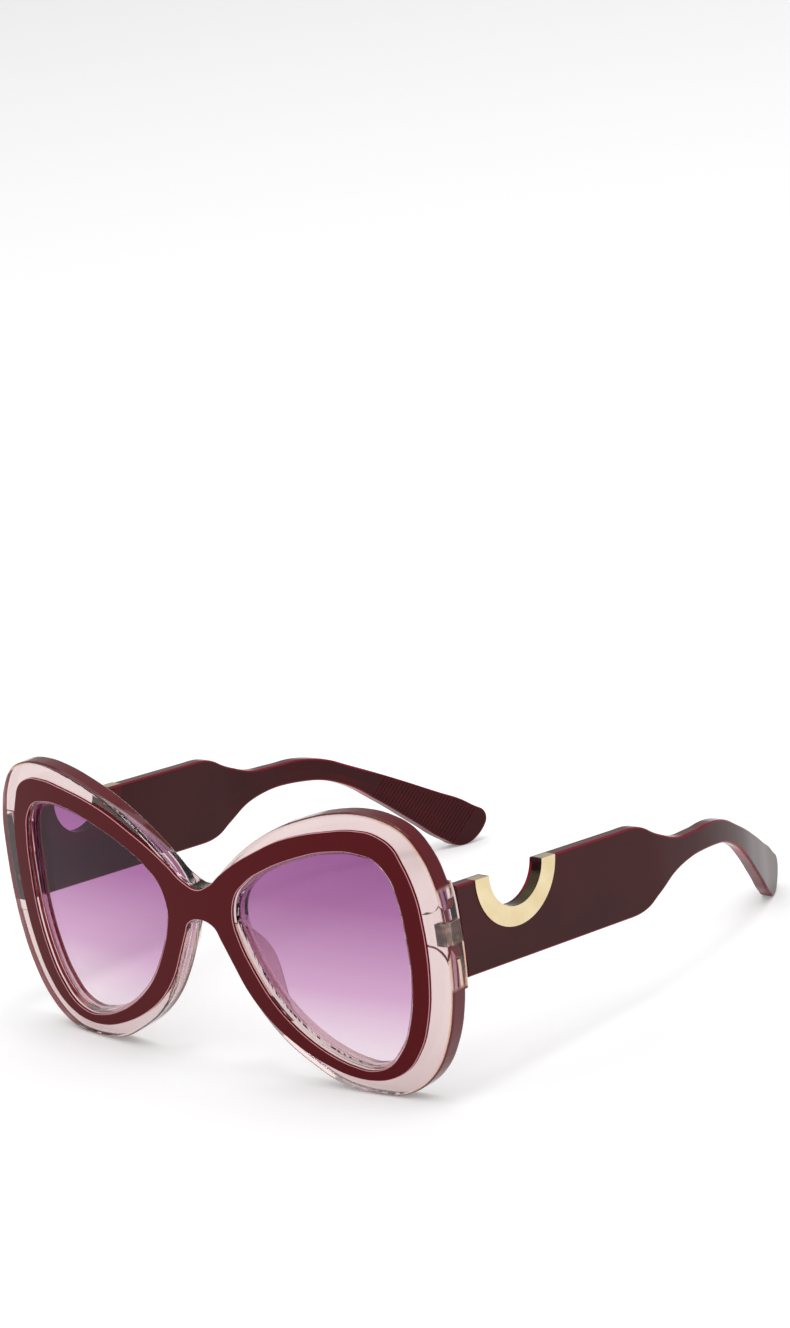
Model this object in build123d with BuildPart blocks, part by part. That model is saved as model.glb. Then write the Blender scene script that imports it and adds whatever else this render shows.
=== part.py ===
"""Butterfly sunglasses, built as an assembly of separate pieces.

X points to the wearer's left, Y runs from the front back to the temple tips, and Z is up.
The glasses stand open on a floor at Z 0, on the two rims and the two temple tips.
The origin is on the floor, in the middle of the glasses. Depths are measured back from the
foremost point of the front, which is the middle of the bridge. All sizes are in millimetres.
"""

import math
import os

from build123d import *

os.makedirs("parts", exist_ok=True)

# Overall sizes
OVERALL_DEPTH = 153.0
FRONT_Y = -OVERALL_DEPTH / 2
FRONT_RADIUS = 449.0

# Depths of the layers of the front, square to its slightly curved face
OVERLAY_BACK = 0.7
LENS_FRONT = 2.2
LENS_BACK = 4.2
LENS_PLAY = 0.05
LEDGE_BACK = 5.4
LUG_BACK = 6.2

# Back of the base's square-edged seat for the overlay, which fills out the rounding beside it
SEAT_BACK = 4.0

# Rounding of the front's edges
BASE_FRONT_ROUNDING = 0.8
BASE_BACK_ROUNDING = 0.7
OVERLAY_ROUNDING = 0.25

# Steps from the overlay's opening, inwards to the base's opening and outwards to the lens groove
OPENING_STEP = 0.75
GROOVE_STEP = 0.1

# Lugs moulded on the back of the base, each a stem for the hinge and a block for the temple's end
LUG_STEM_END = 64.5
LUG_STEM_LOW = 38.04
LUG_STEM_HIGH = 46.04
LUG_BLOCK_X = 71.2
LUG_BLOCK_LOW = 27.84
LUG_BLOCK_HIGH = 54.24
LUG_HOLLOW_RADIUS = 5.0
LUG_CORNER_RADIUS = 1.5
LUG_END_DEPTH = 12.1

# Temple slab
TEMPLE_FRONT = 12.2
TEMPLE_MID_X = 73.0
TEMPLE_THICKNESS = 3.5
TEMPLE_ROUNDING = 0.5
SLAB_TOP_FRONT = 52.94
SLAB_TOP_SLOPE = -0.1169
SLAB_BOTTOM_FRONT = 30.34
SLAB_BOTTOM_SLOPE = -0.1089
SLAB_TOP_END = 69.0
SLAB_BOTTOM_END = 70.5
SLAB_PLAN_END = 80.0

# Hinge knuckles and screw
HINGE_X = 70.3
HINGE_DEPTH = 14.0
HINGE_LOW = 38.64
HINGE_HIGH = 44.04
KNUCKLE_RADIUS = 1.3
KNUCKLE_GAP = 0.1
MIDDLE_KNUCKLE = 2.0
SCREW_RADIUS = 0.6
SCREW_BORE = 0.65
SCREW_HEAD_RADIUS = 1.0
SCREW_HEAD_HEIGHT = 0.7
SCREW_SLOT_WIDTH = 0.3
SCREW_SLOT_DEPTH = 0.3

# Hinge leaves: a block set in the lug, and an arm with a plate set in the temple
LEAF_HALF_WIDTH = 1.2
LEAF_DEPTH = 10.3
ARM_HALF_WIDTH = 0.8
PLATE_X = 71.9
PLATE_THICKNESS = 1.3
PLATE_START = 12.9
PLATE_END = 19.0
PLATE_MARGIN = 0.3

# Pocket in the temple's inner face, where the hinge knuckles turn
POCKET_END = 15.5
POCKET_LOW = 38.24
POCKET_HIGH = 45.24

# Half-round metal ornament set in the temple's outer face, up to its top edge, with two posts
# that pin it to the temple and a thin backing of the temple's own sheet behind it
ORNAMENT_DEPTH = 32.2
ORNAMENT_RADIUS = 14.0
ORNAMENT_BORE = 9.2
ORNAMENT_PROUD = 0.3
ORNAMENT_BACKING = 0.8
POST_RADIUS = 0.6
POST_HOLE = 0.62
POST_LENGTH = 2.4
POST_ANGLES = (-60, -120)

# Metal core wire of the temple
CORE_RADIUS = 0.8
CORE_LEAD = 1.0

# Fine ribs across the inner face of the temple tip, centred along a line of the side view
RIB_COUNT = 30
RIB_PITCH = 0.88
RIB_GROOVE_WIDTH = 0.42
RIB_GROOVE_DEPTH = 0.22
RIB_LENGTH = 14.0
RIB_START = (126.5, 21.65)
RIB_ANGLE = -40.4

# Half outlines of the front, from the bridge's underside round the wing to the bridge's top
BASE_OUTLINE = [
    (0, 38.25), (3.4, 37.1), (5.4, 33.9), (7.6, 29.3), (11, 22.8), (15.7, 15.95),
    (21.6, 10.1), (28.7, 5.4), (36.5, 1.6), (43, 0.3), (49, 0), (55, 0.5), (61, 3),
    (66.4, 7.8), (70.9, 15.8), (73.5, 25), (74.5, 34.4), (74.5, 44), (73.5, 54),
    (70.9, 61.4), (66.2, 67.3), (59.6, 70.1), (52.5, 70.8), (45.3, 70), (36.5, 67.7),
    (28.8, 64.8), (21.8, 61.1), (15, 56.6), (10.3, 52.85), (4.5, 48.05), (0, 46.4),
]
OVERLAY_OUTLINE = [
    (0, 38.45), (2.2, 38.15), (4.3, 37.05), (6.2, 33.75), (8.7, 28.95), (12.4, 22.15),
    (18.4, 15.25), (26, 9.95), (34.3, 6.15), (41, 4.2), (47, 3.7), (53, 4.65), (58.8, 7.75),
    (63.5, 13.65), (67, 22.85), (68.6, 33.15), (68.7, 43.75), (67.8, 52.15), (65.6, 58.75),
    (62.8, 63.75), (58.5, 66.15), (52, 66.75), (44.4, 65.75), (36.9, 64.25), (29, 61.85),
    (21.4, 58.35), (14.2, 54.55), (9, 51.15), (4.5, 47.75), (0, 46.15),
]
OVERLAY_OPENING = [
    (11.15, 39.65), (12.4, 34.05), (15.7, 27.15), (20.3, 20.25), (26.8, 14.15),
    (34.9, 9.35), (42.1, 6.9), (48, 6.3), (53, 7.85), (58.3, 13.35), (61.8, 21.45),
    (63.5, 30.35), (63.7, 40.25), (62.9, 49.65), (61.2, 55.85), (58, 59.55), (52.2, 61.1),
    (43.5, 60.65), (33.7, 58.05), (25, 54.65), (17.6, 50.55), (13, 46.15),
]

# Nose pad sections at heights: (height, nose edge x, lens edge x, ridge x, ridge depth)
PAD_SECTIONS = [
    (37.6, 5.6, 10.4, 8.8, 6.3), (34.1, 6.2, 11.6, 10.4, 9.4),
    (30.1, 8.1, 13.7, 12.4, 11.8), (26.1, 10.1, 15.7, 14.4, 11.7),
    (22.1, 12.4, 18.2, 16.9, 9.7), (18.1, 15.3, 21, 19.6, 7.6),
    (14.6, 18.3, 24.4, 22.8, 6.3),
]
PAD_ROOT = 4.4
PAD_RIDGE_ROUNDING = 0.6

# Temple outline behind the straight slab, as (depth, height): top edge, tip and bottom edge
TEMPLE_CURVE = [
    (76.4, 45.15), (84, 40.69), (91, 37.53), (98.5, 36.47), (106.5, 35.71), (113.5, 33.65),
    (121.5, 29.19), (130, 24.02), (140, 17.44), (149, 11.17), (152.8, 6.94), (150.9, 2.56),
    (145.4, 0.07), (141.3, 2.93), (135, 9.38), (126.8, 17.75), (119.5, 24.2), (113, 27.76),
    (105, 29.72), (95, 30.4), (88.5, 29.35), (81.5, 26.31), (76.6, 24.24),
]

# Middle line of the temple seen from above, as (x, depth), behind the straight slab
TEMPLE_PLAN = [
    (72.2, 92.0), (70.4, 104.0), (67.8, 114.0), (64.2, 124.0), (59.4, 134.0), (53.6, 145.0),
    (48.6, 155.0),
]

# Core wire along the middle of the temple, as (x, depth, height), and the radii of its bends
CORE_PATH = [
    (73, 34, 31.88), (73, 78, 31.93), (71.8, 95, 33.6), (68.6, 111, 31.57),
    (61.9, 129, 20.73), (55.2, 142, 7.63),
]
CORE_START_HEIGHT = 36.34
CORE_BENDS = [20, 20, 20, 15, 15]

# Reach of the solids that cut others to shape, and the plane and faces they are found by
THROUGH = 24.0
LAYER_REACH = 85.0
LAYER_LOW = -5.0
BEYOND = 1.0
BACKWARDS = (0, 1, 0)
SKETCH_DEPTH = -2.0
SIDE_FACE_NORMAL = 0.3

# Two directions that differ less than this are drawn as one straight run
STRAIGHT_TURN = 1e-6


def at_depth(depth):
    """Y of a point this far behind the foremost point of the front."""
    return FRONT_Y + depth


def bent_depth(x, depth):
    """Depth of a point that lies this far under the curved face of the front."""
    radius = FRONT_RADIUS - depth
    return FRONT_RADIUS - math.sqrt(radius**2 - x**2)


def slab_top(depth):
    """Height of the temple's straight top edge."""
    return SLAB_TOP_FRONT + SLAB_TOP_SLOPE * (depth - TEMPLE_FRONT)


def slab_bottom(depth):
    """Height of the temple's straight bottom edge."""
    return SLAB_BOTTOM_FRONT + SLAB_BOTTOM_SLOPE * (depth - TEMPLE_FRONT)


# Planes: one just ahead of the front, and one across the temples with depth and height as axes
ahead = Plane((0, at_depth(SKETCH_DEPTH), 0), x_dir=(1, 0, 0), z_dir=(0, -1, 0))
beside = Plane((0, FRONT_Y, 0), x_dir=(0, 1, 0), z_dir=(1, 0, 0))


def opposite(points):
    """Mirror an outline to the other side, still counterclockwise."""
    return [(-x, z) for x, z in reversed(points)]


def whole(half_outline):
    """Complete a half outline that starts and ends on the middle line."""
    return half_outline + [(-x, z) for x, z in half_outline[-2:0:-1]]


def arc_pair(start, end, out, into):
    """Draw the two tangent arcs that join two points with a direction at each."""
    chord = end - start
    along = chord.dot(out + into)
    turn = 2 * (1 - out.dot(into))
    if turn < STRAIGHT_TURN:
        reach = chord.dot(chord) / (2 * along)
    else:
        reach = (math.sqrt(along**2 + turn * chord.dot(chord)) - along) / turn
    first = start + out * reach
    second = end - into * reach
    middle = (first + second) * 0.5
    TangentArc(start, middle, tangent=out)
    TangentArc(middle, end, tangent=second - first)


def directions(points, ends=None):
    """Direction of travel at each point, square to the radius of the circle through it and
    its two neighbours, on a closed loop or on a line with given end directions."""
    ways = []
    for index, point in enumerate(points):
        before = Vector(*point) - Vector(*points[index - 1])
        after = Vector(*points[(index + 1) % len(points)]) - Vector(*point)
        way = before.normalized() * after.length + after.normalized() * before.length
        ways.append(way.normalized())
    if ends:
        ways[0] = Vector(*ends[0]).normalized()
        ways[-1] = Vector(*ends[1]).normalized()
    return ways


def closed_arcs(points, step=0):
    """Draw a closed smooth loop through points, moved outwards by a step."""
    ways = directions(points)
    places = [Vector(x + way.Y * step, z - way.X * step) for (x, z), way in zip(points, ways)]
    for index in range(len(points)):
        last = index - 1
        arc_pair(places[last], places[index], ways[last], ways[index])


def open_arcs(points, ends, step=0):
    """Draw a smooth line through points, moved to its right by a step."""
    ways = directions(points, ends)
    places = [Vector(x + way.Y * step, z - way.X * step) for (x, z), way in zip(points, ways)]
    for index in range(1, len(points)):
        arc_pair(places[index - 1], places[index], ways[index - 1], ways[index])
    return places


def bent_layer(near, far):
    """Make the curved layer that lies between two depths under the face of the front."""
    near_y = at_depth(bent_depth(LAYER_REACH, near))
    far_y = at_depth(bent_depth(LAYER_REACH, far))
    with BuildPart() as layer:
        with BuildSketch(Plane.XY.offset(LAYER_LOW)):
            with BuildLine():
                ThreePointArc((-LAYER_REACH, near_y), (0, at_depth(near)), (LAYER_REACH, near_y))
                Line((LAYER_REACH, near_y), (LAYER_REACH, far_y))
                ThreePointArc((LAYER_REACH, far_y), (0, at_depth(far)), (-LAYER_REACH, far_y))
                Line((-LAYER_REACH, far_y), (-LAYER_REACH, near_y))
            make_face()
        extrude(amount=LAYER_REACH)
    return layer.part


def front_piece(points, near, far, step=0):
    """Make the piece of the front inside a closed outline, between two depths."""
    with BuildPart() as piece:
        with BuildSketch(ahead):
            with BuildLine():
                closed_arcs(points, step)
            make_face()
        extrude(amount=THROUGH, dir=BACKWARDS)
        add(bent_layer(near, far), mode=Mode.INTERSECT)
    return piece.part


def face_at(part, depth):
    """Find the curved face of the front that lies at a depth."""
    faces = part.faces().filter_by(GeomType.CYLINDER)
    return min(faces, key=lambda face: abs(face.radius - (FRONT_RADIUS - depth)))


def block(x_range, depth_range, height_range):
    """Make a box from its ranges of x, depth and height."""
    middle_x = sum(x_range) / 2
    middle_depth = sum(depth_range) / 2
    with BuildPart() as piece:
        with BuildSketch(Plane((middle_x, at_depth(middle_depth), height_range[0]))):
            Rectangle(x_range[1] - x_range[0], depth_range[1] - depth_range[0])
        extrude(amount=height_range[1] - height_range[0])
    return piece.part


def temple_band(inner, outer):
    """Make the upright band between two distances from the temple's middle line."""
    points = [(TEMPLE_MID_X, at_depth(SLAB_PLAN_END))] + [(x, at_depth(d)) for x, d in TEMPLE_PLAN]
    (near_x, near_y), (end_x, end_y) = points[-2:]
    ends = [(0, 1), (end_x - near_x, end_y - near_y)]
    front_y = at_depth(TEMPLE_FRONT)
    with BuildPart() as band:
        with BuildSketch(Plane.XY.offset(LAYER_LOW)):
            with BuildLine():
                inner_side = open_arcs(points, ends, inner)
                outer_side = open_arcs(points, ends, outer)
                Line(inner_side[-1], outer_side[-1])
                Line((TEMPLE_MID_X + inner, front_y), inner_side[0])
                Line((TEMPLE_MID_X + outer, front_y), outer_side[0])
                Line((TEMPLE_MID_X + inner, front_y), (TEMPLE_MID_X + outer, front_y))
            make_face()
        extrude(amount=LAYER_REACH)
    return band.part


def side_edges(part):
    """Find the long edges round the temple's two side faces, without its front end's."""
    found = {}
    for face in part.faces():
        if abs(face.normal_at().X) > SIDE_FACE_NORMAL:
            for edge in face.edges():
                found.setdefault(hash(edge), []).append(edge)
    rims = [edges[0] for edges in found.values() if len(edges) == 1]
    return [edge for edge in rims if edge.center().Y > at_depth(LUG_END_DEPTH + TEMPLE_ROUNDING)]


def export_pair(part, name):
    """Write a piece of the wearer's left side and its mirror image for the right side."""
    part.label = name + "_left"
    export_step(part, "parts/" + part.label + ".step")
    other = mirror(part, about=Plane.YZ)
    other.label = name + "_right"
    export_step(other, "parts/" + other.label + ".step")


# Metal hinge leaf of the front: a block with two knuckles, slotted for the temple's knuckle
middle_height = (HINGE_LOW + HINGE_HIGH) / 2
slot_half_height = MIDDLE_KNUCKLE / 2 + KNUCKLE_GAP
slot_front = HINGE_DEPTH - KNUCKLE_RADIUS - 2 * KNUCKLE_GAP
hinge_axis = (HINGE_X, at_depth(HINGE_DEPTH))
leaf_block = block(
    (HINGE_X - LEAF_HALF_WIDTH, HINGE_X + LEAF_HALF_WIDTH),
    (LEAF_DEPTH, HINGE_DEPTH),
    (HINGE_LOW, HINGE_HIGH),
)
with BuildPart() as hinge_front_leaf:
    add(leaf_block)
    with BuildSketch(Plane((*hinge_axis, HINGE_LOW))):
        Circle(KNUCKLE_RADIUS)
    extrude(amount=HINGE_HIGH - HINGE_LOW)
    add(
        block(
            (HINGE_X - 2 * KNUCKLE_RADIUS, HINGE_X + 2 * KNUCKLE_RADIUS),
            (slot_front, HINGE_DEPTH + 2 * KNUCKLE_RADIUS),
            (middle_height - slot_half_height, middle_height + slot_half_height),
        ),
        mode=Mode.SUBTRACT,
    )
    with BuildSketch(Plane((*hinge_axis, HINGE_LOW))):
        Circle(SCREW_BORE)
    extrude(amount=HINGE_HIGH - HINGE_LOW, mode=Mode.SUBTRACT)
export_pair(hinge_front_leaf.part, "hinge_front_leaf")

# Metal hinge leaf of the temple: the middle knuckle, its arm and the plate set in the temple
with BuildPart() as hinge_temple_leaf:
    with BuildSketch(Plane((*hinge_axis, middle_height - MIDDLE_KNUCKLE / 2))):
        Circle(KNUCKLE_RADIUS)
    extrude(amount=MIDDLE_KNUCKLE)
    add(
        block(
            (HINGE_X, PLATE_X + PLATE_THICKNESS / 2),
            (HINGE_DEPTH - ARM_HALF_WIDTH, HINGE_DEPTH + ARM_HALF_WIDTH),
            (middle_height - MIDDLE_KNUCKLE / 2, middle_height + MIDDLE_KNUCKLE / 2),
        )
    )
    add(
        block(
            (PLATE_X, PLATE_X + PLATE_THICKNESS),
            (PLATE_START, PLATE_END),
            (HINGE_LOW + PLATE_MARGIN, HINGE_HIGH - PLATE_MARGIN),
        )
    )
    with BuildSketch(Plane((*hinge_axis, HINGE_LOW))):
        Circle(SCREW_BORE)
    extrude(amount=HINGE_HIGH - HINGE_LOW, mode=Mode.SUBTRACT)
export_pair(hinge_temple_leaf.part, "hinge_temple_leaf")

# Screw that pins the hinge, with a slotted head
with BuildPart() as hinge_screw:
    with BuildSketch(Plane((*hinge_axis, HINGE_LOW))):
        Circle(SCREW_RADIUS)
    extrude(amount=HINGE_HIGH - HINGE_LOW)
    with BuildSketch(Plane((*hinge_axis, HINGE_HIGH))):
        Circle(SCREW_HEAD_RADIUS)
    extrude(amount=SCREW_HEAD_HEIGHT)
    with BuildSketch(Plane((*hinge_axis, HINGE_HIGH + SCREW_HEAD_HEIGHT))):
        Rectangle(2 * SCREW_HEAD_RADIUS, SCREW_SLOT_WIDTH)
    extrude(amount=-SCREW_SLOT_DEPTH, mode=Mode.SUBTRACT)
export_pair(hinge_screw.part, "hinge_screw")

# Lug: a block for the temple's end, joined by hollow curves to the stem for the hinge
with BuildPart() as lug:
    with BuildSketch(ahead):
        with Locations((LUG_STEM_END, LUG_STEM_LOW)):
            Rectangle(
                LUG_BLOCK_X - LUG_STEM_END,
                LUG_STEM_HIGH - LUG_STEM_LOW,
                align=(Align.MIN, Align.MIN),
            )
        with Locations((LUG_BLOCK_X, LUG_BLOCK_LOW)):
            Rectangle(
                LAYER_REACH - LUG_BLOCK_X,
                LUG_BLOCK_HIGH - LUG_BLOCK_LOW,
                align=(Align.MIN, Align.MIN),
            )
        block_side = vertices().group_by(Axis.X)[1].sort_by(Axis.Y)
        fillet(block_side[1:-1], LUG_HOLLOW_RADIUS)
        stem_end = vertices().group_by(Axis.X)[0]
        fillet(stem_end, LUG_CORNER_RADIUS)
    extrude(amount=THROUGH, dir=BACKWARDS)
    add(bent_layer(LENS_BACK, LUG_BACK + BEYOND), mode=Mode.INTERSECT)
    add(front_piece(whole(BASE_OUTLINE), OVERLAY_BACK, LUG_BACK + BEYOND), mode=Mode.INTERSECT)
    add(
        block((0, LAYER_REACH), (LUG_END_DEPTH, THROUGH), (LAYER_LOW, LAYER_REACH)),
        mode=Mode.SUBTRACT,
    )
    add(leaf_block, mode=Mode.SUBTRACT)

# Clear base of the front: the wide butterfly outline with the overlay's seat, a groove for each
# lens and the two lugs
with BuildPart() as front_base:
    add(front_piece(whole(BASE_OUTLINE), OVERLAY_BACK, LEDGE_BACK))
    fillet(face_at(front_base.part, OVERLAY_BACK).edges(), BASE_FRONT_ROUNDING)
    fillet(face_at(front_base.part, LEDGE_BACK).edges(), BASE_BACK_ROUNDING)
    add(front_piece(whole(OVERLAY_OUTLINE), OVERLAY_BACK, SEAT_BACK))
    for opening in (OVERLAY_OPENING, opposite(OVERLAY_OPENING)):
        add(front_piece(opening, 0, LEDGE_BACK + BEYOND, -OPENING_STEP), mode=Mode.SUBTRACT)
        groove = front_piece(opening, LENS_FRONT - LENS_PLAY, LENS_BACK + LENS_PLAY, GROOVE_STEP)
        add(groove, mode=Mode.SUBTRACT)
    for leaf_room in (leaf_block, mirror(leaf_block, about=Plane.YZ)):
        add(leaf_room, mode=Mode.SUBTRACT)
    for side_lug in (lug.part, mirror(lug.part, about=Plane.YZ)):
        add(side_lug)
front_base.part.label = "front_base"
export_step(front_base.part, "parts/front_base.step")

# Burgundy overlay: a thin sheet on the base, with its front edges rounded
with BuildPart() as front_overlay:
    add(front_piece(whole(OVERLAY_OUTLINE), 0, OVERLAY_BACK))
    for opening in (OVERLAY_OPENING, opposite(OVERLAY_OPENING)):
        add(front_piece(opening, -BEYOND, OVERLAY_BACK + BEYOND), mode=Mode.SUBTRACT)
    fillet(face_at(front_overlay.part, 0).edges(), OVERLAY_ROUNDING)
front_overlay.part.label = "front_overlay"
export_step(front_overlay.part, "parts/front_overlay.step")

# Lens, bent like the front and held in the groove of the base
with BuildPart() as lens:
    add(front_piece(OVERLAY_OPENING, LENS_FRONT, LENS_BACK))
export_pair(lens.part, "lens")

# Nose pad: a ridge along the base's back, lofted through triangles with a rounded top
with BuildPart() as nose_pad:
    for height, nose_x, lens_x, ridge_x, ridge_depth in PAD_SECTIONS:
        with BuildSketch(Plane.XY.offset(height)):
            with BuildLine():
                Polyline(
                    (nose_x, at_depth(bent_depth(nose_x, PAD_ROOT))),
                    (lens_x, at_depth(bent_depth(lens_x, PAD_ROOT))),
                    (ridge_x, at_depth(bent_depth(ridge_x, ridge_depth))),
                    close=True,
                )
            make_face()
            fillet(vertices().sort_by(Axis.Y)[-1], PAD_RIDGE_ROUNDING)
    loft()
    add(bent_layer(PAD_ROOT - BEYOND, LEDGE_BACK), mode=Mode.SUBTRACT)
export_pair(nose_pad.part, "nose_pad")

# Core wire, open at the temple's front end
with BuildPart() as temple_core:
    second_point = CORE_PATH[0]
    core_slope = (second_point[2] - CORE_START_HEIGHT) / (second_point[1] - TEMPLE_FRONT)
    lead_height = CORE_START_HEIGHT - core_slope * CORE_LEAD
    with BuildLine() as core_line:
        FilletPolyline(
            (TEMPLE_MID_X, at_depth(TEMPLE_FRONT - CORE_LEAD), lead_height),
            *[(x, at_depth(depth), height) for x, depth, height in CORE_PATH],
            radius=CORE_BENDS,
        )
    with BuildSketch(Plane(core_line.line @ 0, z_dir=core_line.line % 0)):
        Circle(CORE_RADIUS)
    sweep(path=core_line.line)
    split(bisect_by=Plane((0, at_depth(TEMPLE_FRONT), 0), z_dir=BACKWARDS), keep=Keep.TOP)
export_pair(temple_core.part, "temple_core")

# Place of the ornament: the middle of the half ring, on the temple's top edge
ornament_place = (0, at_depth(ORNAMENT_DEPTH), slab_top(ORNAMENT_DEPTH))
ornament_plane = Plane(ornament_place, x_dir=(0, 1, SLAB_TOP_SLOPE), z_dir=(1, 0, 0))
slab_inner_x = TEMPLE_MID_X - TEMPLE_THICKNESS / 2


def ornament_posts(radius):
    """Make the posts that stand out from the round side of the ornament."""
    middle = ornament_plane.offset(TEMPLE_MID_X)
    start = (ORNAMENT_RADIUS + ORNAMENT_BORE) / 2
    length = ORNAMENT_RADIUS + POST_LENGTH - start
    with BuildPart() as posts:
        for angle in POST_ANGLES:
            way = middle.x_dir * math.cos(math.radians(angle))
            way = way + middle.y_dir * math.sin(math.radians(angle))
            with BuildSketch(Plane(middle.origin + way * start, z_dir=way)):
                Circle(radius)
            extrude(amount=length)
    return posts.part


# Half-round metal ornament, a little proud of the temple's outer face
with BuildPart() as temple_ornament:
    with BuildSketch(ornament_plane.offset(slab_inner_x + ORNAMENT_BACKING)):
        Circle(ORNAMENT_RADIUS)
        Circle(ORNAMENT_BORE, mode=Mode.SUBTRACT)
        Rectangle(
            2 * ORNAMENT_RADIUS,
            ORNAMENT_RADIUS,
            align=(Align.CENTER, Align.MAX),
            mode=Mode.INTERSECT,
        )
    extrude(amount=TEMPLE_THICKNESS - ORNAMENT_BACKING + ORNAMENT_PROUD)
    add(ornament_posts(POST_RADIUS))
export_pair(temple_ornament.part, "temple_ornament")

# Ribs to be cut into the inner face of the temple tip, straight across it
with BuildPart() as rib_cuts:
    with BuildSketch(beside):
        rib_way = (math.cos(math.radians(RIB_ANGLE)), math.sin(math.radians(RIB_ANGLE)))
        for index in range(RIB_COUNT):
            run = index * RIB_PITCH
            with Locations((RIB_START[0] + rib_way[0] * run, RIB_START[1] + rib_way[1] * run)):
                Rectangle(RIB_GROOVE_WIDTH, RIB_LENGTH, rotation=RIB_ANGLE)
    extrude(amount=LAYER_REACH)
    inner_side = -TEMPLE_THICKNESS / 2
    add(temple_band(inner_side - BEYOND, inner_side + RIB_GROOVE_DEPTH), mode=Mode.INTERSECT)

# Temple: its side outline cut to the band that bends inwards at the ear, with a seat for the
# ornament and an open notch through its middle
with BuildPart() as temple:
    with BuildSketch(beside):
        with BuildLine():
            top_end = (SLAB_TOP_END, slab_top(SLAB_TOP_END))
            bottom_end = (SLAB_BOTTOM_END, slab_bottom(SLAB_BOTTOM_END))
            front_top = (TEMPLE_FRONT, slab_top(TEMPLE_FRONT))
            front_bottom = (TEMPLE_FRONT, slab_bottom(TEMPLE_FRONT))
            curve_ends = [(1, SLAB_TOP_SLOPE), (-1, -SLAB_BOTTOM_SLOPE)]
            open_arcs([top_end, *TEMPLE_CURVE, bottom_end], curve_ends)
            Polyline(bottom_end, front_bottom, front_top, top_end)
        make_face()
    extrude(amount=LAYER_REACH)
    add(temple_band(-TEMPLE_THICKNESS / 2, TEMPLE_THICKNESS / 2), mode=Mode.INTERSECT)
    fillet(side_edges(temple.part), TEMPLE_ROUNDING)
    with BuildSketch(ornament_plane.offset(slab_inner_x + ORNAMENT_BACKING)):
        Circle(ORNAMENT_RADIUS)
    extrude(amount=TEMPLE_THICKNESS, mode=Mode.SUBTRACT)
    with BuildSketch(ornament_plane):
        Circle(ORNAMENT_BORE)
    extrude(amount=LAYER_REACH, mode=Mode.SUBTRACT)
    add(ornament_posts(POST_HOLE), mode=Mode.SUBTRACT)
    add(temple_core.part, mode=Mode.SUBTRACT)
    add(hinge_temple_leaf.part, mode=Mode.SUBTRACT)
    add(
        block((HINGE_X, PLATE_X), (TEMPLE_FRONT - BEYOND, POCKET_END), (POCKET_LOW, POCKET_HIGH)),
        mode=Mode.SUBTRACT,
    )
    add(rib_cuts.part, mode=Mode.SUBTRACT)
export_pair(temple.part, "temple")
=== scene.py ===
"""Looks of the butterfly sunglasses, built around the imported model."""

import math

import bpy
from mathutils import Matrix, Vector

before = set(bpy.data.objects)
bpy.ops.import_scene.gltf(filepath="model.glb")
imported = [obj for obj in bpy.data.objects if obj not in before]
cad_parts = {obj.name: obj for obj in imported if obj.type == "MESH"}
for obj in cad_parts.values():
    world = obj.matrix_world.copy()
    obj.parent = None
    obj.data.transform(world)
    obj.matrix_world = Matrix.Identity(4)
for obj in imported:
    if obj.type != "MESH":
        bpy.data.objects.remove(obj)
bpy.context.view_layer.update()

MM = 0.001

# Camera: the photograph's lower view, with the model point that was fitted to a photo pixel
VIEW_AZIMUTH = math.radians(45.456)
VIEW_ELEVATION = math.radians(18.696)
VIEW_ROLL = math.radians(-8.54)
VIEW_DISTANCE = 1213.74 * MM
FITTED_POINT = Vector((0, -16.5, 35)) * MM
FITTED_PIXEL = (370.28, 851.35)
PHOTO_SIZE = (790, 1328)
FOCAL_PIXELS = 4897.7
SENSOR = 36.0
CLIP_NEAR = 0.01
CLIP_FAR = 20

# Studio: floor, surroundings and soft lamps, in metres and watts
FLOOR_SIZE = 12
FLOOR_WHITE = 0.92
FLOOR_GLOW = 0.24
FLOOR_ROUGHNESS = 0.9
FLOOR_SPECULAR = 0.1
AIR_LIGHT = 0.5
OVERHEAD_PLACE, OVERHEAD_SIZE, OVERHEAD_POWER = (0, 0, 1.6), 2.4, 16.0
KEY_PLACE, KEY_SIZE, KEY_POWER = (0.26, 0.02, 1.3), 0.28, 1.9
LAMP_AIM = Vector((0, 0, 0))

# Clear pink base and pads
CLEAR_TINTS = [(0.3, (0.73, 0.58, 0.57)), (0.7, (0.77, 0.62, 0.61))]
CLEAR_IOR = 1.45
CLEAR_ROUGHNESS = (0.01, 0.035)

# Burgundy sheet: its own two colours, and a painted red glow at its rims that stands in for light coming
# through there, with the glow's reach and how closed in the sheet's inside is where the glow starts and
# where it is full
BURGUNDY_TINTS = [(0.35, (0.040, 0.0022, 0.0036)), (0.65, (0.054, 0.0034, 0.0052))]
BURGUNDY_IOR = 1.48
PAINTED_RIM_GLOW_COLOUR = (0.10, 0.0030, 0.0060)
GLOW_REACH = 2.4 * MM
GLOW_RANGE = (0.40, 0.15)
GLOW_SAMPLES = 8

# Lens tint, from the lower height to the upper one
LENS_HEIGHTS = (5.0 * MM, 60.0 * MM)
LENS_TINTS = [
    (0.0, (0.97, 0.88, 0.93)),
    (0.35, (0.62, 0.37, 0.57)),
    (0.75, (0.36, 0.14, 0.33)),
    (1.0, (0.30, 0.10, 0.28)),
]
LENS_IOR = 1.22
LENS_ROUGHNESS = (0.0, 0.012)

# Middle of the half-round ornaments, back and up, the radii between which painted shade darkens their
# bore, and how far its wall is turned from the side
ORNAMENT_MIDDLE = (-44.3 * MM, 50.6 * MM)
BORE_EDGE = (9.9 * MM, 9.5 * MM)
BORE_TURN = (0.7, 0.3)

# Where the ribbed tips of the temples start, back from the glasses' middle
TIP_START = (47.0 * MM, 50.0 * MM)
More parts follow.
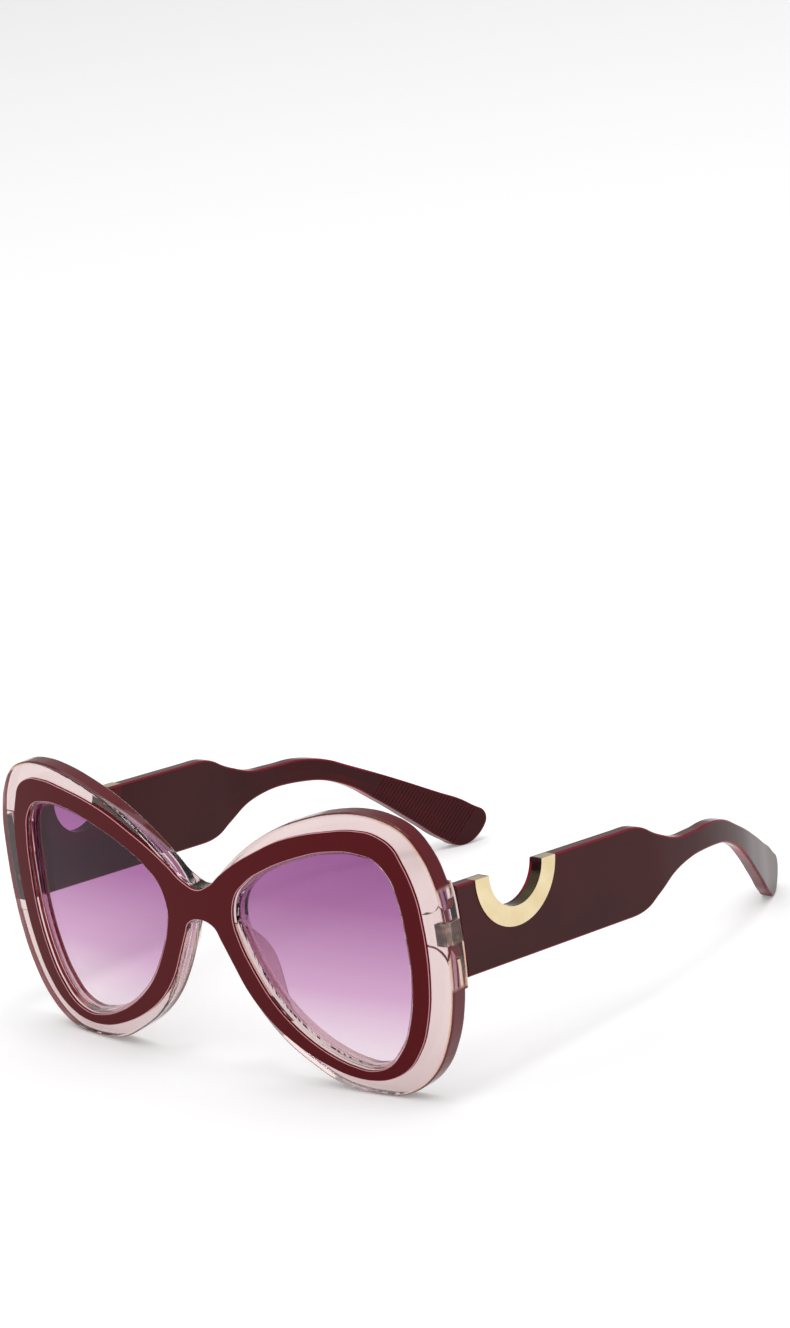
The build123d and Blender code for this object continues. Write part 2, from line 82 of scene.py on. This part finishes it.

# Painted glow of the hinge leaf where its faces are met from inside: its greys, and its strength
PAINTED_INNER_GLOW_STOPS = [(0.40, (0.30, 0.25, 0.25)), (0.60, (0.75, 0.62, 0.62))]
PAINTED_INNER_GLOW_STRENGTH = 0.35

# The front's curve: its foremost plane, its radius, and the middle of a rim, aside and up
FRONT_Y = -76.5 * MM
FRONT_RADIUS = 449.0 * MM
RIM_MIDDLE = (38.0 * MM, 37.0 * MM)

# The outward walls of the wings, where the burgundy of the overlay, as it would show through the clear
# base, is painted on as a painted reflection:
# how far they face outward and turn from the front, how deep they go, where they start along the wing from
# outside and from inside, and their
# colours: the painted reflection from outside, and a brighter painted-light copy for faces met from inside
WALL_OUTWARD = (0.0, 4.0 * MM)
WALL_TURN = (0.85, 0.70)
WALL_DEPTHS = (5.3 * MM, 5.7 * MM)
WALL_SLANT = 1 / 6
WALL_SPREAD = (5.2 * MM, 6.4 * MM)
INNER_SPREAD = (52.0 * MM, 62.0 * MM)
PAINTED_WALL_REFLECTION_COLOUR = (0.115, 0.005, 0.010)
PAINTED_INNER_WALL_LIGHT_COLOUR = (0.75, 0.03, 0.07)

# The walls' rims, where the clear base looks amber in patches
AMBER_TURN = (0.975, 0.93)
AMBER_SPREAD = (50.0 * MM, 60.0 * MM)
AMBER_PATCHES = (0.35, 0.6)
AMBER_COLOUR = (0.62, 0.30, 0.14)

# Heights where the walls' colour stops at the clear lugs, and the x where a lug's own sides end
LUG_TOP = (52.6 * MM, 53.8 * MM)
LUG_FOOT = (29.4 * MM, 28.2 * MM)
LUG_REACH = (70.9 * MM, 70.5 * MM)

# Noises: their detail, and their patches per metre
NOISE_DETAIL = 3.0
CLEAR_CLOUD, CLEAR_WAVES = 60.0, 55.0
BURGUNDY_CLOUD, BURGUNDY_WAVES = 45.0, 40.0
HANDLING, LENS_HANDLING, METAL_HANDLING = 90.0, 40.0, 300.0
METAL_CLOUD, INNER_METAL_CLOUD, AMBER_CLOUD = 160.0, 420.0, 70.0

# Bumps: strength and height, in metres
CLEAR_BUMP = (0.12, 0.4 * MM)
BURGUNDY_BUMP = (0.10, 0.4 * MM)
METAL_BUMP = (0.08, 0.2 * MM)


def look_from_photo():
    """Place the camera where the photograph was taken from, aimed at the picture's middle."""
    sin_a, cos_a = math.sin(VIEW_AZIMUTH), math.cos(VIEW_AZIMUTH)
    sin_e, cos_e = math.sin(VIEW_ELEVATION), math.cos(VIEW_ELEVATION)
    back = Vector((sin_a * cos_e, -cos_a * cos_e, sin_e))
    level = Vector((cos_a, sin_a, 0))
    upright = back.cross(level)
    right = math.cos(VIEW_ROLL) * level + math.sin(VIEW_ROLL) * upright
    up = -math.sin(VIEW_ROLL) * level + math.cos(VIEW_ROLL) * upright
    aside = (PHOTO_SIZE[0] / 2 - FITTED_PIXEL[0]) / FOCAL_PIXELS
    above = (FITTED_PIXEL[1] - PHOTO_SIZE[1] / 2) / FOCAL_PIXELS
    back_aim = (back - aside * right - above * up).normalized()
    right_aim = (right - right.dot(back_aim) * back_aim).normalized()
    up_aim = back_aim.cross(right_aim)
    turn = Matrix((right_aim, up_aim, back_aim)).transposed()
    lens = bpy.data.cameras.new("photo_camera")
    lens.sensor_width = SENSOR
    lens.lens = FOCAL_PIXELS / PHOTO_SIZE[1] * SENSOR
    lens.clip_start = CLIP_NEAR
    lens.clip_end = CLIP_FAR
    camera = bpy.data.objects.new("photo_camera", lens)
    bpy.context.scene.collection.objects.link(camera)
    camera.matrix_world = Matrix.Translation(FITTED_POINT + back * VIEW_DISTANCE) @ turn.to_4x4()
    bpy.context.scene.camera = camera


def new_material(name):
    """Start a material and return it with its nodes, links and shader."""
    material = bpy.data.materials.new(name)
    material.use_nodes = True
    nodes = material.node_tree.nodes
    return material, nodes, material.node_tree.links, nodes["Principled BSDF"]


def object_place(nodes):
    """Coordinates fixed to the object, in metres."""
    return nodes.new("ShaderNodeTexCoord").outputs["Object"]


def noise(nodes, links, place, scale):
    """Noise with a number of patches per metre."""
    texture = nodes.new("ShaderNodeTexNoise")
    texture.inputs["Scale"].default_value = scale
    texture.inputs["Detail"].default_value = NOISE_DETAIL
    links.new(place, texture.inputs["Vector"])
    return texture.outputs["Fac"]


def ramp(nodes, links, value, stops):
    """Colours or greys between stops, as (position, colour)."""
    node = nodes.new("ShaderNodeValToRGB")
    elements = node.color_ramp.elements
    while len(elements) < len(stops):
        elements.new(0.5)
    for element, (position, colour) in zip(elements, stops):
        element.position = position
        element.color = (*colour, 1)
    links.new(value, node.inputs["Fac"])
    return node.outputs["Color"]


def between(nodes, links, value, low, high):
    """Map a range of a value to 0 to 1."""
    node = nodes.new("ShaderNodeMapRange")
    node.inputs["From Min"].default_value = low
    node.inputs["From Max"].default_value = high
    links.new(value, node.inputs["Value"])
    return node.outputs["Result"]


def grey(value):
    """A grey as a colour."""
    return (value, value, value)


def roughened(nodes, links, shader, place, scale, low, high):
    """Vary the roughness with a soft noise, as handling and polishing leave it."""
    spots = ramp(nodes, links, noise(nodes, links, place, scale), [(0.35, grey(low)), (0.65, grey(high))])
    links.new(spots, shader.inputs["Roughness"])


def bumped(nodes, links, shader, height, strength, distance):
    """Add a fine bump to the surface."""
    bump = nodes.new("ShaderNodeBump")
    bump.inputs["Strength"].default_value = strength
    bump.inputs["Distance"].default_value = distance
    links.new(height, bump.inputs["Height"])
    links.new(bump.outputs["Normal"], shader.inputs["Normal"])


def combined(nodes, links, operation, first, second):
    """Combine two values by a math operation."""
    node = nodes.new("ShaderNodeMath")
    node.operation = operation
    for socket, value in zip(node.inputs, (first, second)):
        if isinstance(value, (int, float)):
            socket.default_value = value
        else:
            links.new(value, socket)
    return node.outputs["Value"]


def product(nodes, links, masks):
    """Multiply several masks."""
    share = masks[0]
    for mask in masks[1:]:
        share = combined(nodes, links, "MULTIPLY", share, mask)
    return share


def axes_of(nodes, links, vector):
    """Split a vector into its parts along the axes."""
    parts = nodes.new("ShaderNodeSeparateXYZ")
    links.new(vector, parts.inputs["Vector"])
    return parts.outputs


def outer_wall(nodes, links, place):
    """Masks of the outward walls of the two wings and their lugs' own sides, where the overlay's burgundy
    is painted as a painted reflection, of the walls' amber rims, and of faces met from inside. From
    inside, only the walls at the far sides take part."""
    spot = axes_of(nodes, links, place)
    geometry = nodes.new("ShaderNodeNewGeometry").outputs
    facing = axes_of(nodes, links, geometry["Normal"])
    inside = geometry["Backfacing"]
    outside = combined(nodes, links, "SUBTRACT", 1.0, inside)

    # How far a face looks away from the middle of its rim; the normal turns over inside
    aside = combined(nodes, links, "ABSOLUTE", spot["X"], 0.0)
    side = combined(nodes, links, "SIGN", spot["X"], 0.0)
    turned_aside = combined(nodes, links, "MULTIPLY", facing["X"], side)
    from_middle = combined(nodes, links, "SUBTRACT", aside, RIM_MIDDLE[0])
    over_middle = combined(nodes, links, "SUBTRACT", spot["Z"], RIM_MIDDLE[1])
    outward_aside = combined(nodes, links, "MULTIPLY", turned_aside, from_middle)
    outward_up = combined(nodes, links, "MULTIPLY", facing["Z"], over_middle)
    outward = combined(nodes, links, "ADD", outward_aside, outward_up)
    turn_over = combined(nodes, links, "SUBTRACT", outside, inside)
    outward = combined(nodes, links, "MULTIPLY", outward, turn_over)
    turned = combined(nodes, links, "ABSOLUTE", facing["Y"], 0.0)

    # Depth behind the curved front
    aside_square = combined(nodes, links, "MULTIPLY", aside, aside)
    sag = combined(nodes, links, "MULTIPLY", aside_square, 0.5 / FRONT_RADIUS)
    behind_plane = combined(nodes, links, "SUBTRACT", spot["Y"], FRONT_Y)
    depth = combined(nodes, links, "SUBTRACT", behind_plane, sag)

    over_lug = between(nodes, links, spot["Z"], *LUG_TOP)
    under_lug = between(nodes, links, spot["Z"], *LUG_FOOT)
    beside_lug = combined(nodes, links, "MAXIMUM", over_lug, under_lug)
    slant = combined(nodes, links, "MULTIPLY", aside, WALL_SLANT)
    spread = combined(nodes, links, "ADD", depth, slant)
    along_wall = between(nodes, links, spread, *WALL_SPREAD)
    from_outside = product(nodes, links, [along_wall, beside_lug, outside])
    from_inside = product(nodes, links, [between(nodes, links, aside, *INNER_SPREAD), inside])
    wall = product(
        nodes,
        links,
        [
            between(nodes, links, outward, *WALL_OUTWARD),
            between(nodes, links, turned, *WALL_TURN),
            between(nodes, links, depth, *reversed(WALL_DEPTHS)),
            combined(nodes, links, "ADD", from_outside, from_inside),
        ],
    )
    lug_side = product(
        nodes,
        links,
        [
            between(nodes, links, turned, *WALL_TURN),
            between(nodes, links, depth, *WALL_DEPTHS),
            between(nodes, links, aside, *LUG_REACH),
        ],
    )
    amber = product(
        nodes,
        links,
        [
            between(nodes, links, outward, *WALL_OUTWARD),
            between(nodes, links, turned, *AMBER_TURN),
            between(nodes, links, aside, *AMBER_SPREAD),
            between(nodes, links, noise(nodes, links, place, AMBER_CLOUD), *AMBER_PATCHES),
            outside,
        ],
    )
    return combined(nodes, links, "MAXIMUM", wall, lug_side), amber, inside


def clear_pink(name, with_painted_wall):
    """Clear acetate with a faint pink tint; on its outer walls the burgundy sheet is painted on as a
    painted reflection, with the transmission taken away there.
    """
    material, nodes, links, shader = new_material(name)
    place = object_place(nodes)
    tint = ramp(nodes, links, noise(nodes, links, place, CLEAR_CLOUD), CLEAR_TINTS)
    shader.inputs["Transmission Weight"].default_value = 1.0
    if with_painted_wall:
        wall, amber, inside = outer_wall(nodes, links, place)
        tint = mixed(nodes, links, amber, tint, AMBER_COLOUR)
        # Painted reflection of the overlay on the walls, with a brighter painted-light copy where they are
        # met from inside
        painted_wall_colour = mixed(nodes, links, inside, PAINTED_WALL_REFLECTION_COLOUR, PAINTED_INNER_WALL_LIGHT_COLOUR)
        tint = mixed(nodes, links, wall, tint, painted_wall_colour)
        clear = between(nodes, links, wall, 1.0, 0.0)
        links.new(clear, shader.inputs["Transmission Weight"])
    links.new(tint, shader.inputs["Base Color"])
    shader.inputs["IOR"].default_value = CLEAR_IOR
    roughened(nodes, links, shader, place, HANDLING, *CLEAR_ROUGHNESS)
    bumped(nodes, links, shader, noise(nodes, links, place, CLEAR_WAVES), *CLEAR_BUMP)
    return material


def near_edge(nodes, links):
    """Grow from 0 to 1 towards the rims of a sheet, by how closed in its inside is there; it places the
    painted rim glow.
    """
    inside = nodes.new("ShaderNodeAmbientOcclusion")
    inside.inside = True
    inside.samples = GLOW_SAMPLES
    inside.inputs["Distance"].default_value = GLOW_REACH
    return between(nodes, links, inside.outputs["AO"], *GLOW_RANGE)


def mixed(nodes, links, factor, first, second):
    """Mix two colours by a factor."""
    mix = nodes.new("ShaderNodeMix")
    mix.data_type = "RGBA"
    links.new(factor, mix.inputs["Factor"])
    for socket, colour in (("A", first), ("B", second)):
        if isinstance(colour, tuple):
            mix.inputs[socket].default_value = (*colour, 1)
        else:
            links.new(colour, mix.inputs[socket])
    return mix.outputs["Result"]


def burgundy(name, axis, painted_edge_light_colours, painted_edge_light_amounts, specular, roughness, tip_edge_light_dimming=0.0):
    """Dark burgundy acetate with painted light: a red glow near its rims, and brighter painted edge
    colours where the surface turns along an axis, standing in for light let through its edges, less of it
    at the ribbed tips of the temples."""
    material, nodes, links, shader = new_material(name)
    place = object_place(nodes)
    cloud = ramp(nodes, links, noise(nodes, links, place, BURGUNDY_CLOUD), BURGUNDY_TINTS)
    # Painted light: a red glow mixed into the colour towards the sheet's rims
    with_painted_rim_glow = mixed(nodes, links, near_edge(nodes, links), cloud, PAINTED_RIM_GLOW_COLOUR)
    facing = axes_of(nodes, links, nodes.new("ShaderNodeNewGeometry").outputs["True Normal"])
    turned = combined(nodes, links, "ABSOLUTE", facing[axis], 0.0)
    # Painted edge light: brighter colours where the surface turns along the axis
    edge = ramp(nodes, links, turned, painted_edge_light_colours)
    amount_stops = [(position, grey(value)) for position, value in painted_edge_light_amounts]
    amount = ramp(nodes, links, turned, amount_stops)
    if tip_edge_light_dimming:
        at_tip = between(nodes, links, axes_of(nodes, links, place)["Y"], *TIP_START)
        share = combined(nodes, links, "MULTIPLY", at_tip, -tip_edge_light_dimming)
        amount = combined(nodes, links, "MULTIPLY", amount, combined(nodes, links, "ADD", share, 1.0))
    links.new(mixed(nodes, links, amount, with_painted_rim_glow, edge), shader.inputs["Base Color"])
    shader.inputs["IOR"].default_value = BURGUNDY_IOR
    shader.inputs["Specular IOR Level"].default_value = specular
    roughened(nodes, links, shader, place, HANDLING, *roughness)
    bumped(nodes, links, shader, noise(nodes, links, place, BURGUNDY_WAVES), *BURGUNDY_BUMP)
    return material


def tinted_lens():
    """Clear plastic with a purple tint that fades downwards."""
    material, nodes, links, shader = new_material("gradient_lens")
    place = object_place(nodes)
    height = between(nodes, links, axes_of(nodes, links, place)["Z"], *LENS_HEIGHTS)
    links.new(ramp(nodes, links, height, LENS_TINTS), shader.inputs["Base Color"])
    shader.inputs["Transmission Weight"].default_value = 1.0
    shader.inputs["IOR"].default_value = LENS_IOR
    roughened(nodes, links, shader, place, LENS_HANDLING, *LENS_ROUGHNESS)
    return material


def bore_wall(nodes, links, place):
    """Grow from 0 to 1 on the bore wall of the half-round ornament, where painted shade goes."""
    spot = axes_of(nodes, links, place)
    facing = axes_of(nodes, links, nodes.new("ShaderNodeNewGeometry").outputs["True Normal"])
    back = combined(nodes, links, "SUBTRACT", spot["Y"], ORNAMENT_MIDDLE[0])
    up = combined(nodes, links, "SUBTRACT", spot["Z"], ORNAMENT_MIDDLE[1])
    back_square = combined(nodes, links, "MULTIPLY", back, back)
    up_square = combined(nodes, links, "MULTIPLY", up, up)
    radius = combined(nodes, links, "POWER", combined(nodes, links, "ADD", back_square, up_square), 0.5)
    turned = combined(nodes, links, "ABSOLUTE", facing["X"], 0.0)
    in_bore = between(nodes, links, radius, *BORE_EDGE)
    return product(nodes, links, [in_bore, between(nodes, links, turned, *BORE_TURN)])


def metal(name, colour, dark_colour, roughness, grain, bore_shade_share=0.0, painted_inner_glow=0.0):
    """Metal with a slight variation of colour and polish, with painted shade, a dark reflection, in an
    ornament's bore by a share.
    Where its face lies on the clear base's and is met from inside, a painted glow of mottled greys stands
    in for light that would reach it there. From outside it gives no light."""
    material, nodes, links, shader = new_material(name)
    place = object_place(nodes)
    tint = ramp(nodes, links, noise(nodes, links, place, METAL_CLOUD), [(0.3, dark_colour), (0.7, colour)])
    if bore_shade_share:
        # Painted shade: the bore's wall is darkened as if it reflected the dark temple
        painted_bore_shade = tuple((1 - bore_shade_share) * value for value in dark_colour)
        tint = mixed(nodes, links, bore_wall(nodes, links, place), tint, painted_bore_shade)
    links.new(tint, shader.inputs["Base Color"])
    shader.inputs["Metallic"].default_value = 1.0
    roughened(nodes, links, shader, place, METAL_HANDLING, *roughness)
    bumped(nodes, links, shader, noise(nodes, links, place, grain), *METAL_BUMP)
    if painted_inner_glow:
        # Painted light: an emitted glow on faces met from inside
        inside = nodes.new("ShaderNodeNewGeometry").outputs["Backfacing"]
        painted_glow_patches = ramp(nodes, links, noise(nodes, links, place, INNER_METAL_CLOUD), PAINTED_INNER_GLOW_STOPS)
        links.new(mixed(nodes, links, inside, (0.0, 0.0, 0.0), painted_glow_patches), shader.inputs["Emission Color"])
        shader.inputs["Emission Strength"].default_value = painted_inner_glow
    return material


def floor_material():
    """Plain white studio floor."""
    material, _, _, shader = new_material("studio_floor")
    shader.inputs["Base Color"].default_value = (*grey(FLOOR_WHITE), 1)
    shader.inputs["Emission Color"].default_value = (1, 1, 1, 1)
    shader.inputs["Emission Strength"].default_value = FLOOR_GLOW
    shader.inputs["Roughness"].default_value = FLOOR_ROUGHNESS
    shader.inputs["Specular IOR Level"].default_value = FLOOR_SPECULAR
    return material


def studio():
    """White floor, pale surroundings and soft lamps."""
    bpy.ops.mesh.primitive_plane_add(size=FLOOR_SIZE)
    floor = bpy.context.object
    floor.name = "studio_floor"
    floor.data.materials.append(floor_material())
    world = bpy.data.worlds.new("studio_air")
    bpy.context.scene.world = world
    world.use_nodes = True
    background = world.node_tree.nodes["Background"]
    background.inputs["Color"].default_value = (1, 1, 1, 1)
    background.inputs["Strength"].default_value = AIR_LIGHT
    lamp("overhead_softbox", OVERHEAD_PLACE, OVERHEAD_SIZE, OVERHEAD_POWER)
    lamp("key_softbox", KEY_PLACE, KEY_SIZE, KEY_POWER)
    bpy.context.scene.view_settings.view_transform = "Standard"


def lamp(name, place, size, power):
    """Add a square soft lamp that faces the glasses."""
    light = bpy.data.lights.new(name, "AREA")
    light.size = size
    light.energy = power
    lamp_object = bpy.data.objects.new(name, light)
    lamp_object.location = place
    lamp_object.rotation_euler = (LAMP_AIM - Vector(place)).to_track_quat("-Z", "Y").to_euler()
    bpy.context.scene.collection.objects.link(lamp_object)


def dress(node, material):
    """Give a CAD node its material."""
    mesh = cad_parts[node].data
    mesh.materials.clear()
    mesh.materials.append(material)


look_from_photo()
studio()

pink = clear_pink("clear_pink_acetate", with_painted_wall=False)
walled_pink = clear_pink("clear_pink_front", with_painted_wall=True)
# The overlay's turned walls and fillets get painted edge light, pinkish at the fillets
overlay_burgundy = burgundy(
    "burgundy_overlay",
    axis="Y",
    painted_edge_light_colours=[(0.35, (0.16, 0.004, 0.009)), (0.50, (0.72, 0.34, 0.38))],
    painted_edge_light_amounts=[(0.88, 1.0), (0.96, 0.0)],
    specular=0.09,
    roughness=(0.05, 0.11),
)
# The temple's top and bottom faces and fillets get painted red edge light, dimmed at the ribbed tips
temple_burgundy = burgundy(
    "burgundy_temple",
    axis="Z",
    painted_edge_light_colours=[(0.75, (0.25, 0.012, 0.026)), (0.92, (0.09, 0.004, 0.008))],
    painted_edge_light_amounts=[(0.08, 0.0), (0.35, 1.0)],
    specular=0.18,
    roughness=(0.12, 0.18),
    tip_edge_light_dimming=0.6,
)
lens_tint = tinted_lens()
silver_look = {
    "colour": (0.80, 0.79, 0.78),
    "dark_colour": (0.66, 0.65, 0.64),
    "roughness": (0.18, 0.32),
    "grain": 900.0,
}
silver = metal("nickel_silver", **silver_look)
# The hinge leaf in the lug carries the painted glow on faces met from inside
leaf_silver = metal("nickel_silver_in_lug", **silver_look, painted_inner_glow=PAINTED_INNER_GLOW_STRENGTH)
wire = metal(
    "core_wire_metal",
    colour=(0.55, 0.54, 0.54),
    dark_colour=(0.42, 0.41, 0.41),
    roughness=(0.25, 0.4),
    grain=900.0,
)
gold = metal(
    "pale_gold",
    colour=(0.80, 0.665, 0.42),
    dark_colour=(0.72, 0.575, 0.34),
    roughness=(0.10, 0.18),
    grain=500.0,
    bore_shade_share=0.85,
)

dress("front_base", walled_pink)
dress("front_overlay", overlay_burgundy)
for side in ("left", "right"):
    dress("lens_" + side, lens_tint)
    dress("nose_pad_" + side, pink)
    dress("hinge_front_leaf_" + side, leaf_silver)
    dress("hinge_temple_leaf_" + side, silver)
    dress("hinge_screw_" + side, silver)
    dress("temple_" + side, temple_burgundy)
    dress("temple_core_" + side, wire)
    dress("temple_ornament_" + side, gold)
